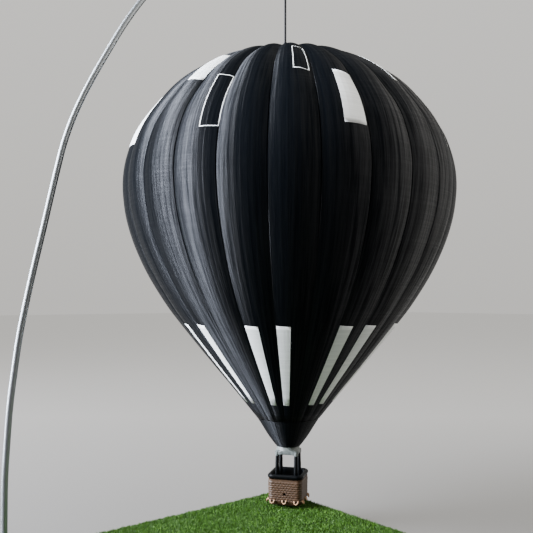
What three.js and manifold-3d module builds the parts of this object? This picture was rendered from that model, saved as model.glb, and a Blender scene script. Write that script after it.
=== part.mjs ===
// Desk model of a hot air balloon, hung by a thread from a bent steel rod over a turfed board.
// Millimetres, +Z up. The origin is the centre of the board's underside.
import * as THREE from 'three';
import Module from 'manifold-3d';

const wasm = await Module();
wasm.setup();

// Board and turf
const BOARD_SIDE = 200;
const BOARD_THICK = 8;
const TURF_THICK = 5;
const TURF_MARGIN = 0.5;
const TUFTS = 14;
const TUFT_RELIEF = 1.4;
const GAP = 0.3;

// Stand: the rod's foot, its diameter and the place where the thread hangs from it
const ROD_DIA = 3.2;
const FOOT_X = -82;
const FOOT_Y = 91;
const SOCKET_DIA = 11;
const SOCKET_TOP = 17;

// Balloon: place of its axis, level of its widest ring and turn about the axis
const AXIS_X = 84.85;
const AXIS_Y = 73.59;
const EQUATOR_Z = 207;
const BALLOON_TURN = -62.1;
const THREAD_DX = -1.4;
const THREAD_DY = 1.15;
const THREAD_DIA = 1.4;
const LOW_LOOP_R = 1.9;
const LOW_LOOP_WIRE = 0.5;
const KNOT_TOP_R = 1.5;
const KNOT_BOTTOM_R = 1.4;

// Rod's middle line in its own upright plane: distance out from the thread, height
const ROD_LINE = [
  [166.4, 10], [166.4, 30], [166.1, 52.3], [165.1, 69.5], [163.8, 86.8], [161.7, 104.1],
  [159.2, 121.5], [155.8, 139], [151.9, 156.8], [147.7, 174.8], [143.6, 193], [140.7, 205.4],
  [137.6, 217.8], [133.3, 230.6], [127.7, 243.7], [120.9, 257.3], [113.3, 271.4], [105.1, 285.9],
  [95.1, 301.1], [83, 316.5], [68, 330.2], [50, 340.3], [30, 345.4], [14, 345.7],
  [5, 344.6], [0, 344.1], [-3.5, 345.3], [-5.6, 348], [-6, 351],
];
const ROD_REST_Z = 344.1;

// Envelope: crest line of a gore from the crown to the mouth cone, radius and height over the equator.
// The valleys between the gores are deepest high up and nearly gone on the lower part.
const GORES = 24;
const CREST = [
  [0, 83.5], [10, 83], [20, 81.6], [30.5, 79.4], [43, 75], [56.4, 68], [68.1, 60], [76.7, 52],
  [83.3, 44], [89.2, 36], [93.7, 28], [96.8, 20], [99.4, 10], [100.4, 0], [99.9, -10], [98.4, -20],
  [95.7, -30], [92, -40], [86.4, -52], [79.4, -64], [71.3, -76], [52.2, -100], [32.4, -124],
  [19.6, -140],
];
const GORE_SPLIT = 2;
const VALLEY_MID = 2.4;
const VALLEY_RISE = 0.033;
const VALLEY_FALL = 0.018;
const VALLEY_LEAST = 0.4;
const VALLEY_SHARE = 0.0365;
const WALL = 2;

// Crown cap on the top, with the eye that the thread holds
const CAP_R = 9;
const CAP_FLAT_R = 8.2;
const CAP_RAISE = 0.4;
const CAP_EDGE = 0.5;
const CAP_THICK = 2;
const EYE_R = 2.2;
const EYE_WIRE = 0.8;

// Printed stripes and panels on the gores, heights over the equator
const SKIN_OFF = 0.3;
const SKIN_THICK = 0.5;
const VALLEY_MARGIN = 0.05;
const CREST_MARGIN = 0.03;
const LOW_PANEL_SPAN = [-0.08, 0.89];
const LOW_FRAME_SPAN = [0.17, 0.97];
const HIGH_PANEL_SPAN = [0, 0.95];
const HIGH_FRAME_SPAN = [0.1, 0.95];
const STRIPE_TOP = -82;
const STRIPE_BOTTOM = -129;
const UPPER_TOP = 68;
const UPPER_BOTTOM = 48.6;
const LOWER_TOP = 48.4;
const LOWER_BOTTOM = 17.4;
const OUTLINE_WIDTH = 0.6;
const OUTLINE_SLOPE = 1.15;

// Mouth cone, radius and height over the equator, and burner collar
const CONE_LINE = [[19.2, -140.3], [16.5, -144.5], [13.4, -149.6], [9.9, -154.6], [7.4, -157.7]];
const CONE_WALL = 1.4;
const COLLAR_TURN = 3;
const COLLAR_SIDE = 14.2;
const COLLAR_CORNER = 2.4;
const COLLAR_NECK_SIDE = 14;
const COLLAR_NECK_CORNER = 6.6;
const COLLAR_TOP = 49;
const COLLAR_NECK = 47.6;
const COLLAR_SHOULDER = 46.4;
const COLLAR_BOTTOM = 44.5;
const COLLAR_HOLE_R = 5.4;
const BOSS_R = 1.4;
const BOSS_END = 44;

// Gondola: turn against the gores, posts, basket shell and the liner inside it
const GONDOLA_TURN = 7.5;
const POST_TOP_DIA = 2.2;
const POST_FOOT_DIA = 2.6;
const POST_TOP_HALF = 5.75;
const POST_FOOT_HALF = 6;
const RIM_Z = 31.9;
const RIM_HALF_WIDTH = 1.2;
const RIM_HALF_HEIGHT = 1.35;
const RIM_SIDE = 19.8;
const RIM_CORNER = 2.9;
const RIM_OVER = 0.6;
const BASKET_BOTTOM = 14.4;
const BASKET_TOP = 30.2;
const BASKET_SIDE_TOP = 21.5;
const BASKET_SIDE_BOTTOM = 21;
const BASKET_CORNER = 3.2;
const BASKET_FOOT_ROUND = 2.2;
const BASKET_WALL = 1.2;
const BASKET_FLOOR = 1.4;
const LINER_GAP = 0.3;
const LINER_WALL = 0.9;
const LINER_FLOOR = 1;
const PEEP_DIA = 1.3;
const PEEP_Z = 21.5;
const LOOP_R = 1.2;
const LOOP_WIRE_R = 0.4;
const LOOP_Z = 17.2;
const LOOP_STEP = 7.4;
const LOOP_TILT = 0.6;

function material(hex, roughness, metalness) {
  return new THREE.MeshStandardMaterial({ color: hex, roughness, metalness });
}

function mesh(name, geometry, look) {
  const made = new THREE.Mesh(geometry, look);
  made.name = name;
  return made;
}

// Solids for booleans, from plain geometry and back
function solid(geometry) {
  const plain = geometry.toNonIndexed();
  const place = plain.attributes.position;
  const seen = new Map();
  const points = [];
  const corners = [];
  for (let i = 0; i < place.count; i += 1) {
    const p = [place.getX(i), place.getY(i), place.getZ(i)];
    const key = p.map((v) => Math.round(v * 1e4)).join(' ');
    if (!seen.has(key)) {
      seen.set(key, points.length / 3);
      points.push(...p);
    }
    corners.push(seen.get(key));
  }
  const kept = [];
  for (let i = 0; i < corners.length; i += 3) {
    const [a, b, c] = [corners[i], corners[i + 1], corners[i + 2]];
    if (a !== b && b !== c && c !== a) {
      kept.push(a, b, c);
    }
  }
  return new wasm.Manifold(new wasm.Mesh({
    numProp: 3,
    vertProperties: new Float32Array(points),
    triVerts: new Uint32Array(kept),
  }));
}

function unsolid(body) {
  const data = body.getMesh();
  const out = new THREE.BufferGeometry();
  const count = data.vertProperties.length / data.numProp;
  const place = new Float32Array(count * 3);
  for (let i = 0; i < count; i += 1) {
    for (let k = 0; k < 3; k += 1) {
      place[i * 3 + k] = data.vertProperties[i * data.numProp + k];
    }
  }
  out.setAttribute('position', new THREE.BufferAttribute(place, 3));
  out.setIndex(Array.from(data.triVerts));
  return out;
}

function surface(points, faces) {
  const out = new THREE.BufferGeometry();
  out.setAttribute('position', new THREE.BufferAttribute(new Float32Array(points.flat()), 3));
  out.setIndex(faces.flat());
  return out;
}

function roundedSquare(side, radius, z) {
  const shape = [];
  const reach = side / 2 - radius;
  const centres = [[reach, -reach, -90], [reach, reach, 0], [-reach, reach, 90], [-reach, -reach, 180]];
  for (const [x, y, start] of centres) {
    for (let k = 0; k <= 4; k += 1) {
      const a = THREE.MathUtils.degToRad(start + k * 22.5);
      shape.push([x + radius * Math.cos(a), y + radius * Math.sin(a), z]);
    }
  }
  return shape;
}

// A closed body from a stack of equal rings, capped at both ends
function stack(rings) {
  const n = rings[0].length;
  const points = rings.flat();
  const faces = [];
  for (let j = 0; j + 1 < rings.length; j += 1) {
    for (let i = 0; i < n; i += 1) {
      const a = j * n + i;
      const b = j * n + ((i + 1) % n);
      faces.push([a, b, b + n], [a, b + n, a + n]);
    }
  }
  const last = (rings.length - 1) * n;
  for (let i = 1; i + 1 < n; i += 1) {
    faces.push([0, i + 1, i], [last, last + i, last + i + 1]);
  }
  return surface(points, faces);
}

// A rounded bar bent to a closed ring
function ringBar(line, halfWidth, halfHeight, sides) {
  const points = [];
  const faces = [];
  const n = line.length;
  line.forEach(([x, y, z], i) => {
    const [ax, ay] = line[(i + n - 1) % n];
    const [bx, by] = line[(i + 1) % n];
    const along = new THREE.Vector2(bx - ax, by - ay).normalize();
    for (let k = 0; k < sides; k += 1) {
      const a = (2 * Math.PI * k) / sides;
      const out = halfWidth * Math.cos(a);
      points.push([x + out * along.y, y - out * along.x, z + halfHeight * Math.sin(a)]);
    }
  });
  for (let i = 0; i < n; i += 1) {
    for (let k = 0; k < sides; k += 1) {
      const a = i * sides + k;
      const b = i * sides + ((k + 1) % sides);
      const c = ((i + 1) % n) * sides + k;
      const d = ((i + 1) % n) * sides + ((k + 1) % sides);
      faces.push([a, c, b], [b, c, d]);
    }
  }
  return surface(points, faces);
}

function tube(points, radius, steps, sides) {
  const line = new THREE.CatmullRomCurve3(points, false, 'centripetal');
  const ring = new THREE.Shape();
  for (let i = 0; i < sides; i += 1) {
    const a = (2 * Math.PI * i) / sides;
    if (i === 0) {
      ring.moveTo(radius, 0);
    } else {
      ring.lineTo(radius * Math.cos(a), radius * Math.sin(a));
    }
  }
  ring.closePath();
  return new THREE.ExtrudeGeometry(ring, { steps, extrudePath: line, bevelEnabled: false });
}

// The gores' outer face: crest line points with their outward directions
const crestLine = CREST.map(([r, z], i) => {
  const before = CREST[Math.max(i - 1, 0)];
  const after = CREST[Math.min(i + 1, CREST.length - 1)];
  const along = new THREE.Vector2(after[0] - before[0], after[1] - before[1]).normalize();
  const out = i === 0 ? new THREE.Vector2(0, 1) : new THREE.Vector2(-along.y, along.x);
  return { r, z, nr: out.x, nz: out.y };
});

function crestAt(z) {
  let i = 0;
  while (i + 2 < crestLine.length && crestLine[i + 1].z > z) {
    i += 1;
  }
  const a = crestLine[i];
  const b = crestLine[i + 1];
  const t = (a.z - z) / (a.z - b.z);
  const mix = (u, v) => u + (v - u) * t;
  const size = Math.hypot(mix(a.nr, b.nr), mix(a.nz, b.nz));
  return { r: mix(a.r, b.r), z, nr: mix(a.nr, b.nr) / size, nz: mix(a.nz, b.nz) / size };
}

function goreDepth(crest) {
  const slope = crest.z > 0 ? VALLEY_RISE : VALLEY_FALL;
  return Math.min(Math.max(VALLEY_MID + slope * crest.z, VALLEY_LEAST), VALLEY_SHARE * crest.r);
}

// Point of a gore: crest point, share of the half gore from -1 to 1, distance off the face
function gorePoint(crest, gore, share, off) {
  const sunk = goreDepth(crest) * Math.abs(share);
  const r = Math.max(crest.r + (off - sunk) * crest.nr, 0);
  const a = (2 * Math.PI * (gore + 0.5 + share / 2)) / GORES - Math.PI / 2;
  return [r * Math.cos(a), r * Math.sin(a), crest.z + (off - sunk) * crest.nz];
}

function envelopeGeometry() {
  const columns = GORES * GORE_SPLIT;
  const points = [];
  const faces = [];
  const outer = crestLine.slice(1);
  for (const crest of outer) {
    for (let i = 0; i < columns; i += 1) {
      const share = ((i % GORE_SPLIT) / GORE_SPLIT) * 2 - 1;
      points.push(gorePoint(crest, Math.floor(i / GORE_SPLIT), share, 0));
    }
  }
  const rows = outer.length;
  const inner = outer.filter((crest, j) => j % 2 === 1 || j === rows - 1);
  const innerRows = inner.length;
  inner.forEach((crest, j) => {
    const deep = goreDepth(crest) + WALL;
    const r = crest.r - deep * crest.nr;
    const z = j === innerRows - 1 ? crest.z : crest.z - deep * crest.nz;
    for (let i = 0; i < columns; i += 1) {
      const a = (2 * Math.PI * i) / columns - Math.PI / 2;
      points.push([r * Math.cos(a), r * Math.sin(a), z]);
    }
  });
  const shift = rows * columns;
  for (let j = 0; j + 1 < rows; j += 1) {
    for (let i = 0; i < columns; i += 1) {
      const a = j * columns + i;
      const b = j * columns + ((i + 1) % columns);
      faces.push([a, a + columns, b], [b, a + columns, b + columns]);
    }
  }
  for (let j = 0; j + 1 < innerRows; j += 1) {
    for (let i = 0; i < columns; i += 1) {
      const c = shift + j * columns + i;
      const d = shift + j * columns + ((i + 1) % columns);
      faces.push([c, d, c + columns], [d, d + columns, c + columns]);
    }
  }
  const top = points.length;
  points.push([0, 0, CREST[0][1]]);
  points.push([0, 0, CREST[0][1] - WALL]);
  const low = (rows - 1) * columns;
  const lowIn = shift + (innerRows - 1) * columns;
  for (let i = 0; i < columns; i += 1) {
    const b = (i + 1) % columns;
    faces.push([top, i, b], [top + 1, shift + b, shift + i]);
    faces.push([low + i, lowIn + i, low + b], [low + b, lowIn + i, lowIn + b]);
  }
  return surface(points, faces);
}

// A thin skin on part of a gore, from a lower to an upper height
function skinGeometry(gore, from, to, top, bottom, near, far) {
  const heights = [top];
  for (const crest of crestLine) {
    if (crest.z < top - 0.5 && crest.z > bottom + 0.5) {
      heights.push(crest.z);
    }
  }
  heights.push(bottom);
  const shares = from < 0 && to > 0 ? [from, 0, to] : [from, to];
  const points = [];
  for (const off of [near, far]) {
    for (const z of heights) {
      for (const share of shares) {
        points.push(gorePoint(crestAt(z), gore, share, off));
      }
    }
  }
  const n = shares.length;
  const rows = heights.length;
  const shift = n * rows;
  const faces = [];
  for (let j = 0; j + 1 < rows; j += 1) {
    for (let i = 0; i + 1 < n; i += 1) {
      const a = j * n + i;
      faces.push([a, a + 1, a + n], [a + 1, a + n + 1, a + n]);
      const c = a + shift;
      faces.push([c, c + n, c + 1], [c + 1, c + n, c + n + 1]);
    }
    const left = j * n;
    const right = j * n + n - 1;
    faces.push([left, left + n, left + shift], [left + shift, left + n, left + n + shift]);
    faces.push([right, right + shift, right + n], [right + n, right + shift, right + n + shift]);
  }
  for (let i = 0; i + 1 < n; i += 1) {
    const low = (rows - 1) * n + i;
    faces.push([i, i + shift, i + 1], [i + 1, i + shift, i + 1 + shift]);
    faces.push([low, low + 1, low + shift], [low + 1, low + 1 + shift, low + shift]);
  }
  return surface(points, faces);
}

// Turf: a mat with tufts in even rows both ways, low between them
function turfGeometry(side, bottom, top) {
  const steps = 2 * TUFTS;
  const points = [];
  for (let j = 0; j <= steps; j += 1) {
    for (let i = 0; i <= steps; i += 1) {
      const low = (TUFT_RELIEF * ((i % 2) + (j % 2))) / 2;
      points.push([side * (i / steps - 0.5), side * (j / steps - 0.5), top - low]);
    }
  }
  const at = (i, j) => j * (steps + 1) + i;
  const faces = [];
  for (let j = 0; j < steps; j += 1) {
    for (let i = 0; i < steps; i += 1) {
      const [a, b, c, d] = [at(i, j), at(i + 1, j), at(i, j + 1), at(i + 1, j + 1)];
      if ((i + j) % 2 === 0) {
        faces.push([a, b, d], [a, d, c]);
      } else {
        faces.push([a, b, c], [b, d, c]);
      }
    }
  }
  const feet = points.length;
  for (const [x, y] of [[-0.5, -0.5], [0.5, -0.5], [0.5, 0.5], [-0.5, 0.5]]) {
    points.push([side * x, side * y, bottom]);
  }
  const edges = [
    (k) => at(k, 0), (k) => at(steps, k), (k) => at(steps - k, steps), (k) => at(0, steps - k),
  ];
  edges.forEach((edge, n) => {
    const foot = feet + n;
    for (let k = 0; k < steps; k += 1) {
      faces.push([foot, edge(k + 1), edge(k)]);
    }
    faces.push([foot, feet + ((n + 1) % 4), edge(steps)]);
  });
  faces.push([feet, feet + 2, feet + 1], [feet, feet + 3, feet + 2]);
  return surface(points, faces);
}

const black = () => material('#15191c', 0.32, 0);
const white = () => material('#e6e8ea', 0.45, 0);
const steel = () => material('#c6cacd', 0.22, 1);

const root = new THREE.Group();
root.name = 'hot_air_balloon_model';

// Board, turf and rod with its socket
const stand = new THREE.Group();
stand.name = 'stand';
root.add(stand);

const board = new THREE.BoxGeometry(BOARD_SIDE, BOARD_SIDE, BOARD_THICK);
board.translate(0, 0, BOARD_THICK / 2);
stand.add(mesh('base_board', board, material('#a98a64', 0.6, 0)));

const turfSide = BOARD_SIDE - 2 * TURF_MARGIN;
const turfBottom = BOARD_THICK + GAP;
const turfTop = BOARD_THICK + TURF_THICK;
const turfBody = turfGeometry(turfSide, turfBottom, turfTop);
const turfHole = new THREE.CylinderGeometry(SOCKET_DIA / 2 + GAP, SOCKET_DIA / 2 + GAP, 20, 24);
turfHole.rotateX(Math.PI / 2);
turfHole.translate(FOOT_X, FOOT_Y, turfBottom);
const turf = unsolid(solid(turfBody).subtract(solid(turfHole)));
stand.add(mesh('turf_mat', turf, material('#4f7a2b', 0.9, 0)));

const bore = ROD_DIA / 2 + GAP;
const socket = new THREE.LatheGeometry([
  new THREE.Vector2(bore, turfBottom),
  new THREE.Vector2(SOCKET_DIA / 2, turfBottom),
  new THREE.Vector2(SOCKET_DIA / 2, SOCKET_TOP - 1),
  new THREE.Vector2(SOCKET_DIA / 2 - 1, SOCKET_TOP),
  new THREE.Vector2(bore, SOCKET_TOP),
  new THREE.Vector2(bore, turfBottom),
], 32);
socket.rotateX(Math.PI / 2);
socket.translate(FOOT_X, FOOT_Y, 0);
stand.add(mesh('rod_socket', socket, steel()));

const threadX = AXIS_X + THREAD_DX;
const threadY = AXIS_Y + THREAD_DY;
const planLength = Math.hypot(FOOT_X - threadX, FOOT_Y - threadY);
const outX = (FOOT_X - threadX) / planLength;
const outY = (FOOT_Y - threadY) / planLength;
const rodPoints = ROD_LINE.map(([s, z]) => {
  const reach = (s * planLength) / ROD_LINE[0][0];
  return new THREE.Vector3(threadX + reach * outX, threadY + reach * outY, z);
});
stand.add(mesh('bent_rod', tube(rodPoints, ROD_DIA / 2, 80, 10), steel()));

// Thread with its two loops
const ringAt = (centre, radius, wire, axis) => {
  const ring = new THREE.TorusGeometry(radius, wire, 6, 14);
  ring.lookAt(axis);
  ring.translate(centre.x, centre.y, centre.z);
  return solid(ring);
};
const ballAt = (z, radius) => {
  const ball = new THREE.SphereGeometry(radius, 12, 8);
  ball.translate(threadX, threadY, z);
  return solid(ball);
};
const threadR = THREAD_DIA / 2;
const topLoopR = ROD_DIA / 2 + GAP + threadR;
const rodWay = new THREE.Vector3(outX, outY, 0);
const sideWay = new THREE.Vector3(-outY, outX, 0);
const crownZ = EQUATOR_Z + CREST[0][1];
const capTop = crownZ + CAP_THICK;
const eyeZ = capTop + EYE_R + GAP;
const lowLoopZ = eyeZ + EYE_R;
const threadTop = ROD_REST_Z - topLoopR;
const threadBottom = lowLoopZ + LOW_LOOP_R;
const strand = new THREE.CylinderGeometry(threadR, threadR, threadTop - threadBottom, 12);
strand.rotateX(Math.PI / 2);
strand.translate(threadX, threadY, (threadTop + threadBottom) / 2);
const thread = solid(strand)
  .add(ringAt(new THREE.Vector3(threadX, threadY, ROD_REST_Z), topLoopR, threadR, rodWay))
  .add(ringAt(new THREE.Vector3(threadX, threadY, lowLoopZ), LOW_LOOP_R, LOW_LOOP_WIRE, rodWay))
  .add(ballAt(threadTop - KNOT_TOP_R, KNOT_TOP_R))
  .add(ballAt(threadBottom + KNOT_BOTTOM_R, KNOT_BOTTOM_R));
stand.add(mesh('hanging_thread', unsolid(thread), material('#101214', 0.8, 0)));

// Balloon in its own turned frame
const balloon = new THREE.Group();
balloon.name = 'balloon';
balloon.position.set(AXIS_X, AXIS_Y, 0);
balloon.rotation.z = THREE.MathUtils.degToRad(BALLOON_TURN);
root.add(balloon);

const cap = new THREE.LatheGeometry([
  new THREE.Vector2(0, crownZ + CAP_RAISE),
  new THREE.Vector2(CAP_R, crownZ + CAP_RAISE),
  new THREE.Vector2(CAP_R, capTop - CAP_EDGE),
  new THREE.Vector2(CAP_FLAT_R, capTop),
  new THREE.Vector2(0, capTop),
], 32);
cap.rotateX(Math.PI / 2);
const turn = -THREE.MathUtils.degToRad(BALLOON_TURN);
const eyeX = THREAD_DX * Math.cos(turn) - THREAD_DY * Math.sin(turn);
const eyeY = THREAD_DX * Math.sin(turn) + THREAD_DY * Math.cos(turn);
const sideLocal = sideWay.clone().applyAxisAngle(new THREE.Vector3(0, 0, 1), turn);
const crown = solid(cap).add(ringAt(new THREE.Vector3(eyeX, eyeY, eyeZ), EYE_R, EYE_WIRE, sideLocal));
balloon.add(mesh('crown_cap', unsolid(crown), black()));

const envelope = envelopeGeometry();
envelope.translate(0, 0, EQUATOR_Z);
balloon.add(mesh('envelope', envelope, black()));

const stripes = new THREE.Group();
stripes.name = 'stripes';
balloon.add(stripes);
const skin = (gore, from, to, top, bottom) => {
  const body = skinGeometry(gore, from, to, top, bottom, SKIN_OFF, SKIN_OFF + SKIN_THICK);
  body.translate(0, 0, EQUATOR_Z);
  return body;
};
const outline = (gore, [from, to], top, bottom) => {
  const margin = OUTLINE_WIDTH / ((Math.PI * crestAt((top + bottom) / 2).r) / GORES);
  const window = skinGeometry(
    gore,
    from + margin,
    to - margin,
    top - OUTLINE_WIDTH / OUTLINE_SLOPE,
    bottom + OUTLINE_WIDTH / OUTLINE_SLOPE,
    SKIN_OFF - 1,
    SKIN_OFF + SKIN_THICK + 1,
  );
  window.translate(0, 0, EQUATOR_Z);
  return unsolid(solid(skin(gore, from, to, top, bottom)).subtract(solid(window)));
};

let count = 0;
for (let gore = 0; gore < GORES; gore += 1) {
  if (gore % 3 !== 2) {
    count += 1;
    const name = `lower_stripe_${String(count).padStart(2, '0')}`;
    const body = skin(gore, VALLEY_MARGIN - 1, -CREST_MARGIN, STRIPE_TOP, STRIPE_BOTTOM);
    stripes.add(mesh(name, body, white()));
  }
}
for (let k = 0; k < 4; k += 1) {
  const high = 6 * k + 1;
  const low = 6 * k + 2;
  const highFrame = outline(high, HIGH_FRAME_SPAN, UPPER_TOP, UPPER_BOTTOM);
  const highPanel = skin(high + 3, ...HIGH_PANEL_SPAN, UPPER_TOP, UPPER_BOTTOM);
  const lowPanel = skin(low, ...LOW_PANEL_SPAN, LOWER_TOP, LOWER_BOTTOM);
  const lowFrame = outline((low + 3) % GORES, LOW_FRAME_SPAN, LOWER_TOP, LOWER_BOTTOM);
  stripes.add(mesh(`high_frame_${k + 1}`, highFrame, white()));
  stripes.add(mesh(`high_panel_${k + 1}`, highPanel, white()));
  stripes.add(mesh(`low_panel_${k + 1}`, lowPanel, white()));
  stripes.add(mesh(`low_frame_${k + 1}`, lowFrame, white()));
}

// Mouth cone: an open, slightly bulged funnel against the envelope's lower edge
const coneOuter = CONE_LINE.map(([r, z]) => new THREE.Vector2(r, EQUATOR_Z + z)).reverse();
const coneInner = [CONE_LINE[0], CONE_LINE[2], CONE_LINE[4]].map(
  ([r, z]) => new THREE.Vector2(r - CONE_WALL, EQUATOR_Z + z),
);
const cone = new THREE.LatheGeometry([...coneOuter, ...coneInner, coneOuter[0].clone()], 36);
cone.rotateX(Math.PI / 2);
balloon.add(mesh('mouth_cone', cone, black()));

// Gondola under the mouth
const gondola = new THREE.Group();
gondola.name = 'gondola';
gondola.rotation.z = THREE.MathUtils.degToRad(GONDOLA_TURN);
balloon.add(gondola);

// White burner collar: round under the mouth, square below, with a boss over each post
let collar = solid(stack([
  roundedSquare(COLLAR_SIDE, COLLAR_CORNER, COLLAR_BOTTOM),
  roundedSquare(COLLAR_SIDE, COLLAR_CORNER, COLLAR_SHOULDER),
  roundedSquare(COLLAR_NECK_SIDE, COLLAR_NECK_CORNER, COLLAR_NECK),
  roundedSquare(COLLAR_NECK_SIDE, COLLAR_NECK_CORNER, COLLAR_TOP),
]));
const corners = [[1, -1], [1, 1], [-1, 1], [-1, -1]];
for (const [sx, sy] of corners) {
  const boss = new THREE.CylinderGeometry(BOSS_R, BOSS_R, COLLAR_SHOULDER - BOSS_END, 14);
  boss.rotateX(Math.PI / 2);
  boss.translate(sx * POST_TOP_HALF, sy * POST_TOP_HALF, (COLLAR_SHOULDER + BOSS_END) / 2);
  collar = collar.add(solid(boss));
}
const collarHole = new THREE.CylinderGeometry(COLLAR_HOLE_R, COLLAR_HOLE_R, 20, 28);
collarHole.rotateX(Math.PI / 2);
collarHole.translate(0, 0, COLLAR_TOP);
collar = collar.subtract(solid(collarHole));
const collarMesh = mesh('burner_collar', unsolid(collar), white());
const collarTurn = THREE.MathUtils.degToRad(COLLAR_TURN);
collarMesh.rotation.z = collarTurn;
gondola.add(collarMesh);

// Basket shell: tapered rounded square tub with three moulded loops low on each side
const basketRing = (inset, z) => {
  const share = (z - BASKET_BOTTOM) / (BASKET_TOP - BASKET_BOTTOM);
  const side = BASKET_SIDE_BOTTOM + (BASKET_SIDE_TOP - BASKET_SIDE_BOTTOM) * share;
  return roundedSquare(side - 2 * inset, BASKET_CORNER - inset * 0.8, z);
};
let basket = solid(stack([
  basketRing(BASKET_FOOT_ROUND, BASKET_BOTTOM),
  basketRing(BASKET_FOOT_ROUND * 0.29, BASKET_BOTTOM + BASKET_FOOT_ROUND * 0.29),
  basketRing(0, BASKET_BOTTOM + BASKET_FOOT_ROUND),
  basketRing(0, BASKET_TOP),
]));
for (let side = 0; side < 4; side += 1) {
  for (const step of [-LOOP_STEP, 0, LOOP_STEP]) {
    const loop = new THREE.TorusGeometry(LOOP_R, LOOP_WIRE_R, 6, 12);
    loop.rotateX(Math.PI / 2 - LOOP_TILT);
    loop.translate(step, -BASKET_SIDE_BOTTOM / 2, LOOP_Z);
    loop.rotateZ((side * Math.PI) / 2);
    basket = basket.add(solid(loop));
  }
}
const shellFloor = BASKET_BOTTOM + BASKET_FLOOR;
const hollow = stack([basketRing(BASKET_WALL, shellFloor), basketRing(BASKET_WALL, BASKET_TOP + 1)]);
const peep = new THREE.CylinderGeometry(PEEP_DIA / 2, PEEP_DIA / 2, 3, 12);
peep.translate(0, -BASKET_SIDE_TOP / 2, PEEP_Z);
basket = basket.subtract(solid(hollow)).subtract(solid(peep));
gondola.add(mesh('basket_shell', unsolid(basket), material('#6b5540', 0.6, 0)));

// Black liner: a thin tub with the rounded rim on top
const linerFloor = shellFloor + LINER_GAP;
const linerInset = BASKET_WALL + LINER_GAP;
const rim = ringBar(roundedSquare(RIM_SIDE, RIM_CORNER, RIM_Z), RIM_HALF_WIDTH, RIM_HALF_HEIGHT, 10);
const tub = stack([basketRing(linerInset, linerFloor), basketRing(linerInset, RIM_Z + RIM_OVER)]);
const well = stack([
  basketRing(linerInset + LINER_WALL, linerFloor + LINER_FLOOR),
  basketRing(linerInset + LINER_WALL, RIM_Z + 3),
]);
const liner = solid(tub).add(solid(rim)).subtract(solid(well));
gondola.add(mesh('basket_liner', unsolid(liner), black()));

// Posts: each tapers a little and leans from its foot on the liner's floor to the collar's boss
const postFoot = linerFloor + LINER_FLOOR + GAP;
const postTop = BOSS_END - GAP;
corners.forEach(([sx, sy], k) => {
  const foot = new THREE.Vector3(sx * POST_FOOT_HALF, sy * POST_FOOT_HALF, postFoot);
  const head = new THREE.Vector3(sx * POST_TOP_HALF, sy * POST_TOP_HALF, postTop);
  head.applyAxisAngle(new THREE.Vector3(0, 0, 1), collarTurn);
  const way = head.clone().sub(foot);
  const post = new THREE.CylinderGeometry(POST_TOP_DIA / 2, POST_FOOT_DIA / 2, way.length(), 14);
  const made = mesh(`post_${k + 1}`, post, black());
  made.position.copy(foot.lerp(head, 0.5));
  made.quaternion.setFromUnitVectors(new THREE.Vector3(0, 1, 0), way.normalize());
  gondola.add(made);
});

export default root;
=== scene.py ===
import math

import bmesh
import bpy
from mathutils import Matrix, Vector
from mathutils.geometry import interpolate_bezier


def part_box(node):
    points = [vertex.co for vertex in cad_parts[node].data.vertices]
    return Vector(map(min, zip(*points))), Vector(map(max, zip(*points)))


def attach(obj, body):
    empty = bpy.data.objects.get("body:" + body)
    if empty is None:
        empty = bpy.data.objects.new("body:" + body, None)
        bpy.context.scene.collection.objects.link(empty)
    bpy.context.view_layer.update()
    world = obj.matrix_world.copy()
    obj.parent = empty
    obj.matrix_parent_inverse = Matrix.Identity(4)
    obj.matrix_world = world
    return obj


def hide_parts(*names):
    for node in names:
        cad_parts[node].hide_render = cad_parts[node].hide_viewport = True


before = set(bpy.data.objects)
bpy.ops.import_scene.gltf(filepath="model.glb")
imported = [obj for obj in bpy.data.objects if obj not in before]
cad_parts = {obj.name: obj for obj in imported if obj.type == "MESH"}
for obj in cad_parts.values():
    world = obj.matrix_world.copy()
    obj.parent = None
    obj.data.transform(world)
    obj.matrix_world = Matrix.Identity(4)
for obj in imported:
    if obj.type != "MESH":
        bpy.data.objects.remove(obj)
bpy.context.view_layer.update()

# Camera, floor and light
# A level camera looks over the board's front left corner at the hanging balloon. A tall window light
# stands at the left, with weaker soft lights beside it, at the right and above. The room that lights
# the model is dim, darkest behind the camera, while the camera itself sees a pale wall. The floor is
# pale mainly by a glow of its own, which fades towards the camera. All this is fitted to the photo.
MM = 0.001
IMAGE_SIDE = 533
FOCAL_PIXELS = 676
HORIZON_ROW = 300
SENSOR_WIDTH = 36
VIEW_AZIMUTH = math.radians(-39.5)
CAMERA_HEIGHT = 139 * MM
AXIS_DISTANCE = 418.3 * MM
AXIS_TO_RIGHT = 13.45 * MM
FLOOR_SIDE = 12
ROOM_BEHIND_CAMERA = 0.15
ROOM_BEYOND = 0.6
WALL_LOW = 1.08
WALL_HIGH = 1.36
WALL_RISE = 0.5
FLOOR_NEAR = -0.3
FLOOR_FAR = 0.5
FLOOR_GLOW_NEAR = 0.05
FLOOR_GLOW_FAR = 0.86
LIGHTS_AIM = 0.2


def linear(code):
    """Linear red, green, blue and a full alpha of an sRGB hex colour."""
    parts = [int(code[i : i + 2], 16) / 255 for i in (1, 3, 5)]
    return [c / 12.92 if c <= 0.04045 else ((c + 0.055) / 1.055) ** 2.4 for c in parts] + [1]


def add_node(tree, kind, settings=None, links=None):
    """Adds a node with its settings, by property or by socket, and its links by socket."""
    node = tree.nodes.new(kind)
    for key, value in (settings or {}).items():
        if isinstance(key, int) or key in node.inputs:
            node.inputs[key].default_value = value
        else:
            setattr(node, key, value)
    for key, source in (links or {}).items():
        tree.links.new(source, node.inputs[key])
    return node


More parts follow.
